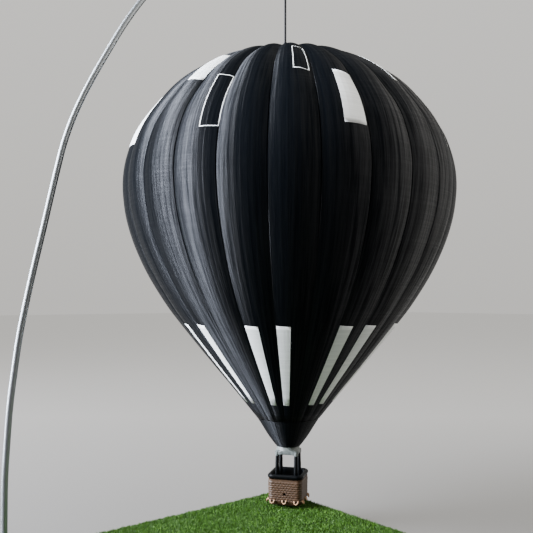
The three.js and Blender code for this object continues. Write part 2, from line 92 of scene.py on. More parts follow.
def new_material(name):
    """An empty node material."""
    material = bpy.data.materials.new(name)
    material.use_nodes = True
    material.node_tree.nodes.clear()
    return material, material.node_tree


def remap(tree, source, low, high, new_low, new_high):
    """Maps the values between two ends to those between two others."""
    return add_node(tree, "ShaderNodeMapRange", {1: low, 2: high, 3: new_low, 4: new_high}, {0: source})


def colour_ramp(tree, source, low, high, start=0, end=1):
    """A ramp between two sRGB hex colours, from a start to an end."""
    ramp = add_node(tree, "ShaderNodeValToRGB", links={0: source})
    first, last = ramp.color_ramp.elements
    first.position, last.position = start, end
    first.color, last.color = linear(low), linear(high)
    return ramp


def add_bump(tree, source, strength, depth):
    """A bump from a source of heights, with a depth in millimetres."""
    return add_node(
        tree, "ShaderNodeBump", {"Strength": strength, "Distance": depth * MM}, {"Height": source}
    )


def principled(tree, settings, links):
    """A principled shader that goes to the material's output."""
    shader = add_node(tree, "ShaderNodeBsdfPrincipled", settings, links)
    add_node(tree, "ShaderNodeOutputMaterial", links={0: shader.outputs[0]})


env_low, env_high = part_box("envelope")
balloon_axis = Vector(((env_low.x + env_high.x) / 2, (env_low.y + env_high.y) / 2, 0))
ahead = Vector((-math.sin(VIEW_AZIMUTH), math.cos(VIEW_AZIMUTH), 0))
rightward = Vector((ahead.y, -ahead.x, 0))


def from_axis(right, away, up):
    """A place in metres: right of the balloon's axis as seen, beyond it, and above the floor."""
    return balloon_axis + rightward * right + ahead * away + Vector((0, 0, up))


camera_data = bpy.data.cameras.new("camera")
camera_data.sensor_width = SENSOR_WIDTH
camera_data.lens = FOCAL_PIXELS / IMAGE_SIDE * SENSOR_WIDTH
camera_data.shift_y = (HORIZON_ROW - IMAGE_SIDE / 2) / IMAGE_SIDE
camera_data.clip_start = 0.01
camera = bpy.data.objects.new("camera", camera_data)
camera.location = from_axis(-AXIS_TO_RIGHT, -AXIS_DISTANCE, CAMERA_HEIGHT)
camera.rotation_euler = (math.pi / 2, 0, VIEW_AZIMUTH)
bpy.context.collection.objects.link(camera)
bpy.context.scene.camera = camera


def soft_light(name, place, width, height, power, colour):
    """A rectangular soft light that faces the middle of the model."""
    data = bpy.data.lights.new(name, "AREA")
    data.shape = "RECTANGLE"
    data.size = width
    data.size_y = height
    data.energy = power
    data.color = linear(colour)[:3]
    light = bpy.data.objects.new(name, data)
    light.location = place
    light.rotation_euler = (place - from_axis(0, 0, LIGHTS_AIM)).to_track_quat("Z", "Y").to_euler()
    bpy.context.collection.objects.link(light)


# Each with its place, its width and height in metres, its power in watts and its colour.
soft_light("window_light", from_axis(-0.92, -0.16, 0.54), 0.42, 1.08, 112, "#EAF1FF")
soft_light("curtain_light", from_axis(-0.8, -0.5, 0.66), 0.34, 0.98, 14, "#FFFCF6")
soft_light("right_light", from_axis(1.2, 0.0, 0.78), 1.6, 1.0, 17, "#FFFBF4")
soft_light("top_light", from_axis(0.4, -0.25, 1.25), 1.0, 1.0, 6, "#FFFDF8")

bm = bmesh.new()
bmesh.ops.create_grid(bm, x_segments=1, y_segments=1, size=FLOOR_SIDE / 2)
floor_mesh = bpy.data.meshes.new("floor")
bm.to_mesh(floor_mesh)
bm.free()
floor = bpy.data.objects.new("floor", floor_mesh)
bpy.context.collection.objects.link(floor)
# The floor's paleness is painted light: a glow of its own, bright far beyond the balloon and faint towards
# the camera.
glowing_floor, tree = new_material("pale_floor_painted_glow")
coords = add_node(tree, "ShaderNodeTexCoord")
beyond = add_node(
    tree, "ShaderNodeVectorMath", {"operation": "DOT_PRODUCT", 1: ahead}, {0: coords.outputs["Object"]}
)
glow = remap(tree, beyond.outputs["Value"], FLOOR_NEAR, FLOOR_FAR, FLOOR_GLOW_NEAR, FLOOR_GLOW_FAR)
principled(
    tree,
    {"Base Color": linear("#403E3C"), "Roughness": 0.9, "Emission Color": linear("#D2D0CB")},
    {"Emission Strength": glow.outputs[0]},
)
floor_mesh.materials.append(glowing_floor)

studio = bpy.data.worlds.new("studio")
bpy.context.scene.world = studio
studio.use_nodes = True
tree = studio.node_tree
tree.nodes.clear()
coords = add_node(tree, "ShaderNodeTexCoord")
beyond = add_node(
    tree, "ShaderNodeVectorMath", {"operation": "DOT_PRODUCT", 1: ahead}, {0: coords.outputs["Generated"]}
)
depth = remap(tree, beyond.outputs["Value"], -1, 1, ROOM_BEHIND_CAMERA, ROOM_BEYOND)
room = add_node(tree, "ShaderNodeBackground", {"Color": linear("#F4F2EE")}, {"Strength": depth.outputs[0]})
toward = add_node(tree, "ShaderNodeSeparateXYZ", links={0: coords.outputs["Generated"]})
paler = remap(tree, toward.outputs["Z"], 0, WALL_RISE, WALL_LOW, WALL_HIGH)
wall = add_node(tree, "ShaderNodeBackground", {"Color": linear("#D1CFCB")}, {"Strength": paler.outputs[0]})
ray = add_node(tree, "ShaderNodeLightPath")
seen = add_node(
    tree,
    "ShaderNodeMixShader",
    links={0: ray.outputs["Is Camera Ray"], 1: room.outputs[0], 2: wall.outputs[0]},
)
add_node(tree, "ShaderNodeOutputWorld", links={0: seen.outputs[0]})

# Base board
# Taken as a square of light beech plywood, sanded, with its edges broken by hand, since the photo
# shows none of it. The wood shows long soft grain under a thin clear oil.
BOARD_SIDE = 200
BOARD_THICK = 8
BOARD_ROUND = 0.8


def put(mesh, name, material, nodes=()):
    """Links a mesh as a piece of the model that stands for CAD nodes."""
    piece = bpy.data.objects.new(name, mesh)
    bpy.context.collection.objects.link(piece)
    mesh.materials.append(material)
    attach(piece, "root")
    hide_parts(*nodes)
    return piece


def make(bm, name, material, nodes=(), place=Matrix(), sharp=None):
    """Turns a bmesh in millimetres into a piece at its place, with sharp edges over an angle."""
    if sharp:
        for face in bm.faces:
            face.smooth = True
        for edge in bm.edges:
            edge.smooth = edge.calc_face_angle(math.pi) < math.radians(sharp)
    bmesh.ops.transform(bm, matrix=Matrix.Scale(MM, 4) @ place, verts=bm.verts)
    mesh = bpy.data.meshes.new(name)
    bm.to_mesh(mesh)
    bm.free()
    return put(mesh, name, material, nodes)


beech, tree = new_material("beech_plywood_oiled")
GRAIN_WIDTH = 2.2
coords = add_node(tree, "ShaderNodeTexCoord")
along_grain = add_node(
    tree,
    "ShaderNodeMapping",
    {"Scale": (1 / (40 * GRAIN_WIDTH * MM), 1 / (2 * GRAIN_WIDTH * MM), 1 / (GRAIN_WIDTH * MM))},
    {0: coords.outputs["Object"]},
)
grain = add_node(
    tree, "ShaderNodeTexNoise", {"Scale": 1, "Detail": 6, "Distortion": 0.4}, {0: along_grain.outputs[0]}
)
tones = colour_ramp(tree, grain.outputs[0], "#B48A5C", "#DCBB8E", 0.3, 0.72)
bump = add_bump(tree, grain.outputs[0], 0.25, 0.1)
principled(
    tree, {"Roughness": 0.5, "IOR": 1.5}, {"Base Color": tones.outputs[0], "Normal": bump.outputs[0]}
)

bm = bmesh.new()
bmesh.ops.create_cube(bm, size=1, matrix=Matrix.Diagonal((BOARD_SIDE, BOARD_SIDE, BOARD_THICK, 1)))
bmesh.ops.bevel(
    bm, geom=bm.edges[:], affect="EDGES", offset=BOARD_ROUND, segments=3, profile=0.5, material=-1
)
board_place = Matrix.Translation((0, 0, BOARD_THICK / 2))
make(bm, "board", beech, ["base_board"], board_place, sharp=35)

# Turf
# Short artificial turf glued on the board: fine plastic blades, tufted in even rows both ways, that
# lean every way over a dense green pile. The blades differ in tone, and painted shade darkens them towards
# their roots.
# The greens are fitted to the photo under this scene's light.
TURF_SIDE = 199
TURF_LOW = 8.3
PILE_TOP = 12.6
TUFTS = 14
TUFT_STEPS = 4
TUFT_RELIEF = 0.5
BLADE_LENGTH = 1.5
BLADE_WIDTH = 0.55
BLADES_PER_MM2 = 4.3
BLADE_LEAN = 0.75
BLADE_TURN = 6.283
BLADE_SMALLEST = 0.75
BLADE_LARGEST = 1.05
ROOT_PAINTED_SHADE = 0.5

# The pile under the tips: crimped green fibre, seen only as a fine dark and light grain.
turf_pile, tree = new_material("polyethylene_turf_pile")
FIBRE_SHOWN = 0.9
coords = add_node(tree, "ShaderNodeTexCoord")
fibres = add_node(
    tree, "ShaderNodeTexNoise", {"Scale": 1 / (FIBRE_SHOWN * MM), "Detail": 2}, {0: coords.outputs["Object"]}
)
greens = colour_ramp(tree, fibres.outputs[0], "#234010", "#3A5F1B", 0.35, 0.65)
bump = add_bump(tree, fibres.outputs[0], 0.7, 0.4)
principled(tree, {"Roughness": 0.8}, {"Base Color": greens.outputs[0], "Normal": bump.outputs[0]})


def tufted_grid(bm):
    """A level grid, millimetres, raised a little in even tufts both ways."""
    cells = TUFTS * TUFT_STEPS
    bmesh.ops.create_grid(bm, x_segments=cells, y_segments=cells, size=TURF_SIDE / 2)
    for vert in bm.verts:
        waves = sum(math.cos(2 * math.pi * TUFTS * (c / TURF_SIDE + 0.5)) for c in vert.co.xy)
        vert.co.z = PILE_TOP - TUFT_RELIEF * (2 - waves) / 4


bm = bmesh.new()
tufted_grid(bm)
rim = [edge for edge in bm.edges if edge.is_boundary]
skirt = [g for g in bmesh.ops.extrude_edge_only(bm, edges=rim)["geom"] if isinstance(g, bmesh.types.BMVert)]
for vert in skirt:
    vert.co.z = TURF_LOW
bmesh.ops.contextual_create(bm, geom=[edge for edge in bm.edges if edge.is_boundary])
bmesh.ops.recalc_face_normals(bm, faces=bm.faces)
make(bm, "turf_pile", turf_pile, (), sharp=60)

# Polyethylene blades, extruded and slit: soft sheen, a little light passes through them.
turf_blades, tree = new_material("polyethylene_turf_blades")
tone = add_node(tree, "ShaderNodeAttribute", {"attribute_name": "tone"})
greens = colour_ramp(tree, tone.outputs["Fac"], "#27480C", "#5F8A2C")
greens.color_ramp.elements.new(0.55).color = linear("#34590F")
greens.color_ramp.elements.new(0.85).color = linear("#426A16")
coords = add_node(tree, "ShaderNodeTexCoord")
split = add_node(tree, "ShaderNodeSeparateXYZ", links={0: coords.outputs["Object"]})
# Painted shade: each blade's colour darkens towards its root, low in the pile.
rise = remap(
    tree,
    split.outputs["Z"],
    (PILE_TOP - TUFT_RELIEF) * MM,
    (PILE_TOP + 0.7 * BLADE_LENGTH) * MM,
    ROOT_PAINTED_SHADE,
    1,
)
shade = add_node(
    tree,
    "ShaderNodeMix",
    {"data_type": "RGBA", "blend_type": "MULTIPLY", 0: 1},
    {6: greens.outputs[0], 7: rise.outputs[0]},
)
shader = add_node(
    tree,
    "ShaderNodeBsdfPrincipled",
    {"Roughness": 0.6, "IOR": 1.5, "Specular IOR Level": 0.25},
    {"Base Color": shade.outputs[2]},
)
glow = add_node(tree, "ShaderNodeBsdfTranslucent", links={0: shade.outputs[2]})
mixed = add_node(tree, "ShaderNodeMixShader", {0: 0.2}, {1: shader.outputs[0], 2: glow.outputs[0]})
add_node(tree, "ShaderNodeOutputMaterial", links={0: mixed.outputs[0]})

bm = bmesh.new()
corners = ((-BLADE_WIDTH / 2, 0, 0), (BLADE_WIDTH / 2, 0, 0), (0, 0, BLADE_LENGTH))
bm.faces.new([bm.verts.new(Vector(corner) * MM) for corner in corners])
blade_mesh = bpy.data.meshes.new("blade")
bm.to_mesh(blade_mesh)
bm.free()
blade = bpy.data.objects.new("blade", blade_mesh)

tufting = bpy.data.node_groups.new("turf_tufting", "GeometryNodeTree")
tufting.interface.new_socket("Geometry", in_out="INPUT", socket_type="NodeSocketGeometry")
tufting.interface.new_socket("Geometry", in_out="OUTPUT", socket_type="NodeSocketGeometry")
field = add_node(tufting, "NodeGroupInput")
roots = add_node(
    tufting,
    "GeometryNodeDistributePointsOnFaces",
    {"Density": BLADES_PER_MM2 / MM**2, "Seed": 7},
    {"Mesh": field.outputs[0]},
)
one_blade = add_node(tufting, "GeometryNodeObjectInfo", {"Object": blade})
lean = add_node(
    tufting,
    "FunctionNodeRandomValue",
    {
        "data_type": "FLOAT_VECTOR",
        0: (-BLADE_LEAN, -BLADE_LEAN, 0),
        1: (BLADE_LEAN, BLADE_LEAN, BLADE_TURN),
        "Seed": 3,
    },
)
size = add_node(
    tufting,
    "FunctionNodeRandomValue",
    {"data_type": "FLOAT", 2: BLADE_SMALLEST, 3: BLADE_LARGEST, "Seed": 4},
)
planted = add_node(
    tufting,
    "GeometryNodeInstanceOnPoints",
    links={
        "Points": roots.outputs["Points"],
        "Instance": one_blade.outputs["Geometry"],
        "Rotation": lean.outputs[0],
        "Scale": size.outputs[1],
    },
)
shades = add_node(tufting, "FunctionNodeRandomValue", {"data_type": "FLOAT", 2: 0, 3: 1, "Seed": 5})
toned = add_node(
    tufting,
    "GeometryNodeStoreNamedAttribute",
    {"data_type": "FLOAT", "domain": "INSTANCE", "Name": "tone"},
    {"Geometry": planted.outputs[0], "Value": shades.outputs[1]},
)
real = add_node(tufting, "GeometryNodeRealizeInstances", links={0: toned.outputs[0]})
add_node(tufting, "NodeGroupOutput", links={0: real.outputs[0]})

bm = bmesh.new()
tufted_grid(bm)
bmesh.ops.transform(bm, matrix=Matrix.Scale(MM, 4), verts=bm.verts)
bed_mesh = bpy.data.meshes.new("turf_bed")
bm.to_mesh(bed_mesh)
bm.free()
bed = bpy.data.objects.new("turf_bed", bed_mesh)
bpy.context.collection.objects.link(bed)
bed.modifiers.new("tufting", "NODES").node_group = tufting
bpy.context.view_layer.update()
blades_mesh = bpy.data.meshes.new_from_object(bed.evaluated_get(bpy.context.evaluated_depsgraph_get()))
blades_mesh.materials.clear()
put(blades_mesh, "turf_blades", turf_blades, ["turf_mat"])
bpy.data.objects.remove(bed)
bpy.data.objects.remove(blade)

# Rod socket
# A short turned steel bush, screwed to the board's corner, which holds the rod's foot.
# Its faces are turned bright, with a chamfer round the top edge. A guess: the photo ends above it.
ROD_DIAMETER = 3.2
ROD_FOOT = Vector((-82, 91, 0))
SOCKET_PROFILE = [(1.9, 8.3), (5.5, 8.3), (5.5, 16), (4.5, 17), (2.2, 17), (1.9, 16.7)]
TURNED_SIDES = 64

# Drawn steel. Base and edge tint are fitted to the photo under this scene's light, and are darker
# than those of bare steel.
bright_steel, tree = new_material("bright_drawn_steel")
DRAW_LINE_WIDTH = 0.35
DRAW_LINE_LENGTH = 50
course = add_node(tree, "ShaderNodeAttribute", {"attribute_name": "course"})
drawn = add_node(
    tree,
    "ShaderNodeMapping",
    {"Scale": (ROD_DIAMETER * math.pi / DRAW_LINE_WIDTH, 1 / DRAW_LINE_LENGTH, 1)},
    {0: course.outputs["Vector"]},
)
lines = add_node(tree, "ShaderNodeTexNoise", {"Scale": 1, "Detail": 3}, {0: drawn.outputs[0]})
rough = remap(tree, lines.outputs[0], 0.3, 0.7, 0.42, 0.46)
principled(
    tree,
    {"Base Color": linear("#888C8F"), "Metallic": 1, "Specular Tint": linear("#8C8E90")},
    {"Roughness": rough.outputs[0]},
)


def turned(bm, profile, sides, closed=False):
    """Spins a profile of radius and height right round the Z axis."""
    line = [bm.verts.new((r, 0, z)) for r, z in profile]
    ends = [*line, line[0]] if closed else line
    edges = [bm.edges.new(pair) for pair in zip(ends, ends[1:])]
    bmesh.ops.spin(
        bm,
        geom=[*line, *edges],
        cent=(0, 0, 0),
        axis=(0, 0, 1),
        angle=2 * math.pi,
        steps=sides,
        use_merge=True,
    )
    bmesh.ops.remove_doubles(bm, verts=bm.verts, dist=0.001)
    bmesh.ops.recalc_face_normals(bm, faces=bm.faces)


bm = bmesh.new()
turned(bm, SOCKET_PROFILE, TURNED_SIDES, closed=True)
make(bm, "socket_bush", bright_steel, ["rod_socket"], Matrix.Translation(ROD_FOOT), sharp=25)

# Bent rod
# Bright drawn steel rod, 3.2 mm, bent cold to one long arc from the socket to over the balloon's
# crown. Past the thread its end turns up a little, so that the loop stays on. What lies over the
# photo's top edge is a guess.
THREAD_PLACE = Vector((83.45, 74.74, 0))
ROD_LINE = [
    (166.4, 10), (166.4, 30), (166.1, 52.3), (165.1, 69.5), (163.8, 86.8), (161.7, 104.1),
    (159.2, 121.5), (155.8, 139), (151.9, 156.8), (147.7, 174.8), (143.6, 193), (140.7, 205.4),
    (137.6, 217.8), (133.3, 230.6), (127.7, 243.7), (120.9, 257.3), (113.3, 271.4), (105.1, 285.9),
    (95.1, 301.1), (83, 316.5), (68, 330.2), (50, 340.3), (30, 345.4), (14, 345.7), (5, 344.6),
    (0, 344.1), (-3.5, 345.3), (-5.6, 348), (-6, 351),
]
ROD_REST_HEIGHT = 344.1
LINE_STEPS = 4


def smooth_line(points, steps):
    """Points of a smooth line through the given ones, with so many steps to each stretch."""
    points = [Vector(p) for p in points]
    ways = [(b - a).normalized() for a, b in zip([points[0], *points], [*points[1:], points[-1]])]
    line = []
    for a, b, way_a, way_b in zip(points, points[1:], ways, ways[1:]):
        reach = (b - a).length / 3
        bow = [a, a + way_a * reach, b - way_b * reach, b]
        line += interpolate_bezier(*(p.to_3d() for p in bow), steps + 1)[:-1]
    return [*line, points[-1].to_3d()]


def sweep(bm, line, radius, sides, closed=False):
    """Carries a ring along a line as a round bar, with its ends capped or joined."""
    course = bm.verts.layers.float_vector.get("course") or bm.verts.layers.float_vector.new("course")
    count = len(line)
    side = None
    frames = []
    for i, point in enumerate(line):
        before = line[i - 1] if closed or i else point
        after = line[(i + 1) % count] if closed or i + 1 < count else point
        along = (after - before).normalized()
        side = side or along.orthogonal()
        side = (side - along * side.dot(along)).normalized()
        turned_frame = Matrix((side, along.cross(side), along)).transposed().to_4x4()
        turned_frame.translation = point
        frames.append(turned_frame)
    ring = bmesh.ops.create_circle(bm, segments=sides, radius=radius, matrix=frames[0])["verts"]
    for k, vert in enumerate(ring):
        vert[course] = (k / sides, 0, 0)
    edges = list({edge for vert in ring for edge in vert.link_edges})
    first = edges
    length = 0
    for before, after in zip(frames, frames[1:]):
        grown = bmesh.ops.extrude_edge_only(bm, edges=edges)["geom"]
        verts = [g for g in grown if isinstance(g, bmesh.types.BMVert)]
        edges = [g for g in grown if isinstance(g, bmesh.types.BMEdge) and g.is_boundary]
        bmesh.ops.transform(bm, matrix=after @ before.inverted(), verts=verts)
        length += (after.translation - before.translation).length
        for vert in verts:
            vert[course] = (vert[course][0], length, 0)
    if closed:
        bmesh.ops.bridge_loops(bm, edges=first + edges)
    else:
        bmesh.ops.contextual_create(bm, geom=first)
        bmesh.ops.contextual_create(bm, geom=edges)


bm = bmesh.new()
rod_plan = ROD_FOOT - THREAD_PLACE
rod_reach = rod_plan.length / ROD_LINE[0][0]
rod_points = [THREAD_PLACE + rod_plan.normalized() * (s * rod_reach) + Vector((0, 0, z)) for s, z in ROD_LINE]
sweep(bm, smooth_line(rod_points, LINE_STEPS), ROD_DIAMETER / 2, 32)
bmesh.ops.recalc_face_normals(bm, faces=bm.faces)
make(bm, "steel_rod", bright_steel, ["bent_rod"], sharp=50)

# Hanging thread
# Black waxed thread, twisted from three yarns, tied in a loop over the rod and in another through
# the crown's eye. Each knot is the thread's end wound round itself.
THREAD_RADIUS = 0.7
CROWN_HEIGHT = 290.5
EYE_RING = 1.3
EYE_WIRE = 0.6
EYE_HEIGHT = CROWN_HEIGHT + 2 + EYE_RING + 0.2
TOP_LOOP = ROD_DIAMETER / 2 + 0.3 + THREAD_RADIUS
LOW_LOOP = 1.2
LOW_LOOP_WIRE = 0.45
LOW_LOOP_HEIGHT = EYE_HEIGHT + EYE_RING
TOP_KNOT_TURNS = 4
TOP_KNOT_RADIUS = 0.95
TOP_KNOT_WIRE = 0.45
LOW_KNOT_TURNS = 2
LOW_KNOT_RADIUS = 0.8
LOW_KNOT_WIRE = 0.4
KNOT_PITCH = 0.75
THREAD_SIDES = 16
KNOT_SIDES = 10


def twisted_yarns(tree, yarns, twist_rate):
    """Height of the yarns, 0 to 1, that wind round a swept bar at a rate in radians to the millimetre."""
    course = add_node(tree, "ShaderNodeAttribute", {"attribute_name": "course"})
    split = add_node(tree, "ShaderNodeSeparateXYZ", links={0: course.outputs["Vector"]})
    wound = add_node(
        tree, "ShaderNodeMath", {"operation": "MULTIPLY", 1: 2 * math.pi * yarns}, {0: split.outputs[0]}
    )
    twist = add_node(
        tree,
        "ShaderNodeMath",
        {"operation": "MULTIPLY_ADD", 1: twist_rate},
        {0: split.outputs[1], 2: wound.outputs[0]},
    )
    wave = add_node(tree, "ShaderNodeMath", {"operation": "SINE"}, {0: twist.outputs[0]})
    return remap(tree, wave.outputs[0], -1, 1, 0, 1)


waxed_thread, tree = new_material("waxed_polyester_thread_twisted")
YARNS = 3
TWIST_LENGTH = 3.0
height = twisted_yarns(tree, YARNS, 2 * math.pi * YARNS / TWIST_LENGTH)
bump = add_bump(tree, height.outputs[0], 0.8, 0.15)
principled(
    tree,
    {"Base Color": linear("#0C0C0F"), "Roughness": 0.7, "Specular IOR Level": 0.2},
    {"Normal": bump.outputs[0]},
)

rod_way = rod_plan.normalized()
side_way = Vector((-rod_way.y, rod_way.x, 0))
UP = Vector((0, 0, 1))


def ring_line(middle, radius, way, points):
    """Points of an upright ring about a middle, in the plane of the vertical and a level way."""
    turns = [2 * math.pi * k / points for k in range(points)]
    return [middle + way * radius * math.sin(a) + UP * radius * math.cos(a) for a in turns]


def knot_line(start, radius, rounds, points=14):
    """Points of a thread wound upwards round the strand."""
    turns = [2 * math.pi * k / points for k in range(rounds * points + 1)]
    return [
        start + Vector((radius * math.cos(a), radius * math.sin(a), KNOT_PITCH * a / (2 * math.pi)))
        for a in turns
    ]


bm = bmesh.new()
thread_top = THREAD_PLACE + UP * (ROD_REST_HEIGHT - TOP_LOOP)
thread_bottom = THREAD_PLACE + UP * (LOW_LOOP_HEIGHT + LOW_LOOP)
strand_steps = 40
strand = [thread_bottom.lerp(thread_top, k / strand_steps) for k in range(strand_steps + 1)]
sweep(bm, strand, THREAD_RADIUS, THREAD_SIDES)
top_loop = ring_line(THREAD_PLACE + UP * ROD_REST_HEIGHT, TOP_LOOP, side_way, 40)
sweep(bm, top_loop, THREAD_RADIUS, THREAD_SIDES, closed=True)
low_loop = ring_line(THREAD_PLACE + UP * LOW_LOOP_HEIGHT, LOW_LOOP, side_way, 32)
sweep(bm, low_loop, LOW_LOOP_WIRE, THREAD_SIDES, closed=True)
top_knot_start = thread_top - UP * (TOP_KNOT_TURNS * KNOT_PITCH + 0.4)
sweep(bm, knot_line(top_knot_start, TOP_KNOT_RADIUS, TOP_KNOT_TURNS), TOP_KNOT_WIRE, KNOT_SIDES)
low_knot_start = thread_bottom + UP * 0.1
sweep(bm, knot_line(low_knot_start, LOW_KNOT_RADIUS, LOW_KNOT_TURNS), LOW_KNOT_WIRE, KNOT_SIDES)
bmesh.ops.recalc_face_normals(bm, faces=bm.faces)
make(bm, "black_thread", waxed_thread, ["hanging_thread"], sharp=60)

# Envelope
# The printed black shell: 24 bulged gores, 2 mm thick, open at the mouth. The gores meet in narrow
# creases and bulge most high up. Each gore has eight narrow upright flats, plain to see.
GORES = 24
FLATS = 8
CREST = [
    (0, 83.5), (10, 83), (20, 81.6), (30.5, 79.4), (43, 75), (56.4, 68), (68.1, 60), (76.7, 52),
    (83.3, 44), (89.2, 36), (93.7, 28), (96.8, 20), (99.4, 10), (100.4, 0), (99.9, -10), (98.4, -20),
    (95.7, -30), (92, -40), (86.4, -52), (79.4, -64), (71.3, -76), (52.2, -100), (32.4, -124),
    (19.6, -140),
]
CREST_STEPS = 3
BULGES = [(60, 3.1), (0, 1.6), (-70, 1.15), (-112, 0.4), (-140, 0.4)]
BULGE_SHARE = 0.0365
CREASES = [(60, 0), (20, 0.5), (0, 0.4), (-70, 0), (-140, 0)]
CREASE_HALF = 0.4
SHELL_WALL = 2
EQUATOR_HEIGHT = 207
BALLOON_TURN = -62.1
crest_line = [(p.x, p.y) for p in smooth_line(CREST, CREST_STEPS)]

# PLA, printed black in thin layers: satin, and the layers draw each highlight out up and down. The
# 0.2 mm layers are drawn 0.9 mm apart. The nozzle's small swerves repeat from layer to layer, as
# upright ripples 0.5 to 5 mm wide. The specular level is fitted to the photo, under the plastic's own.
LAYER_SHOWN = 0.9
LAYER_SWELLS = 8
RIPPLE_WIDTH = 2.5
RIPPLE_LENGTH = 62.5
ENVELOPE_RADIUS = 100
PLA_IOR = 1.46


def printed_layers(tree, swells, strength, depth):
    """Noise in a print's level layers, with so many swells to a metre of layer, and a bump from it."""
    coords = add_node(tree, "ShaderNodeTexCoord")
    squash = add_node(
        tree,
        "ShaderNodeMapping",
        {"Scale": (swells, swells, 1 / (LAYER_SHOWN * MM))},
        {0: coords.outputs["Object"]},
    )
    layers = add_node(tree, "ShaderNodeTexNoise", {"Scale": 1, "Detail": 2}, {0: squash.outputs[0]})
    return layers, add_bump(tree, layers.outputs[0], strength, depth)


black_pla, tree = new_material("black_PLA_printed_satin")
upward = add_node(tree, "ShaderNodeTangent", {"direction_type": "UV_MAP", "uv_map": "layers"})
layers, bump = printed_layers(tree, LAYER_SWELLS, 0.12, 0.04)
unrolled = add_node(tree, "ShaderNodeUVMap", {"uv_map": "layers"})
drawn_up = add_node(
    tree,
    "ShaderNodeMapping",
    {"Scale": (ENVELOPE_RADIUS / RIPPLE_LENGTH, ENVELOPE_RADIUS / RIPPLE_WIDTH, 1)},
    {0: unrolled.outputs[0]},
)
ripples = add_node(
    tree, "ShaderNodeTexNoise", {"Scale": 1, "Detail": 4, "Roughness": 0.72}, {0: drawn_up.outputs[0]}
)
rippled = add_bump(tree, ripples.outputs[0], 1, 0.2)
tree.links.new(bump.outputs[0], rippled.inputs["Normal"])
worn = remap(tree, layers.outputs[0], 0.35, 0.65, 0.5, 0.6)
streaks = remap(tree, ripples.outputs[0], 0.4, 0.6, 0.05, 0.24)
principled(
    tree,
    {
        "Base Color": linear("#06080B"),
        "IOR": PLA_IOR,
        "Specular Tint": linear("#F4F7FF"),
        "Anisotropic": 1,
    },
    {
        "Roughness": worn.outputs[0],
        "Specular IOR Level": streaks.outputs[0],
        "Normal": rippled.outputs[0],
        "Tangent": upward.outputs[0],
    },
)


def crest_at(height):
    """Radius of the crest line and its outward direction at a height over the equator."""
    last = len(crest_line) - 1
    i = next((k for k in range(1, last) if crest_line[k][1] <= height), last)
    (r0, z0), (r1, z1) = crest_line[i - 1], crest_line[i]
    (ra, za), (rb, zb) = crest_line[max(i - 2, 0)], crest_line[min(i + 1, last)]
    share = (z0 - height) / (z0 - z1)
    before = Vector((r1 - ra, z1 - za)).normalized()
    after = Vector((rb - r0, zb - z0)).normalized()
    along = before.lerp(after, share).normalized()
    return r0 + (r1 - r0) * share, Vector((-along.y, along.x))


def depth_at(table, height):
    """A depth from a table of heights over the equator and depths."""
    for (z0, deep0), (z1, deep1) in zip(table, table[1:]):
        if height >= z1 - 0.01:
            return deep0 + (deep1 - deep0) * (height - z0) / (z1 - z0)


def gore_share(place):
    """Where a place lies across its gore, from -1 at its first valley to 1 at its second."""
    return 2 * ((math.atan2(place.y, place.x) + math.pi / 2) * GORES / (2 * math.pi) % 1) - 1


def gore_sheet(bm, top, bottom, first, gores, off):
    """Spins the crest line between two heights over some gores and sinks it to their valleys."""
    whole = gores == GORES
    levels = [top, *(z for r, z in crest_line if bottom + 0.3 < z < top - 0.3), bottom]
    start = 2 * math.pi * first / GORES - math.pi / 2
    line = [
        bm.verts.new((r * math.cos(start), r * math.sin(start), z))
        for r, z in ((crest_at(z)[0], z) for z in levels)
    ]
    edges = [bm.edges.new(pair) for pair in zip(line, line[1:])]
    bmesh.ops.spin(
        bm,
        geom=[*line, *edges],
        cent=(0, 0, 0),
        axis=(0, 0, 1),
        angle=2 * math.pi * gores / GORES,
        steps=round(gores * FLATS),
        use_merge=whole,
    )
    bmesh.ops.remove_doubles(bm, verts=bm.verts, dist=0.001)
    if whole:
        valleys = [
            edge
            for edge in bm.edges
            if all(
                abs(gore_share(v.co)) > 0.99 and CREASES[-2][0] < v.co.z < CREASES[0][0] for v in edge.verts
            )
        ]
        bmesh.ops.bevel(
            bm, geom=valleys, affect="EDGES", offset=CREASE_HALF, segments=2, profile=0.5, material=-1
        )
    for edge in bm.edges:
        a, b = (vert.co.xy for vert in edge.verts)
        level = abs(edge.verts[0].co.z - edge.verts[1].co.z) < 0.001
        edge.smooth = level or min(a.length, b.length) < 0.01
    for vert in bm.verts:
        radius = vert.co.xy.length
        if radius > 0.01:
            share = gore_share(vert.co)
            out = crest_at(vert.co.z)[1]
            sunk = min(depth_at(BULGES, vert.co.z), BULGE_SHARE * radius) * share**2
            if whole:
                from_valley = (1 - abs(share)) * math.pi * radius / GORES
                sunk += depth_at(CREASES, vert.co.z) * max(0, 1 - from_valley / CREASE_HALF)
            vert.co.xy *= 1 + (off - sunk) * out.x / radius
            vert.co.z += (off - sunk) * out.y
    for face in bm.faces:
        face.smooth = True
    bmesh.ops.recalc_face_normals(bm, faces=bm.faces)
    outer = max(bm.faces, key=lambda face: face.calc_center_median().xy.length)
    if outer.normal.xy.dot(outer.calc_center_median().xy) < 0:
        bmesh.ops.reverse_faces(bm, faces=bm.faces)


def layer_map(mesh):
    """A UV map whose first direction runs up the balloon, across the printed layers."""
    layer = mesh.uv_layers.new(name="layers")
    middle = balloon_axis + UP * EQUATOR_HEIGHT * MM
    for face in mesh.polygons:
        base = math.atan2(face.center.y - middle.y, face.center.x - middle.x)
        for k in face.loop_indices:
            p = mesh.vertices[mesh.loops[k].vertex_index].co - middle
            around = (math.atan2(p.y, p.x) - base + math.pi) % (2 * math.pi) - math.pi
            layer.data[k].uv = (math.atan2(p.z, p.xy.length), base + around)


axis_place = Matrix.Translation(balloon_axis / MM)
balloon_place = axis_place @ Matrix.Rotation(math.radians(BALLOON_TURN), 4, "Z")
equator_place = balloon_place @ Matrix.Translation((0, 0, EQUATOR_HEIGHT))

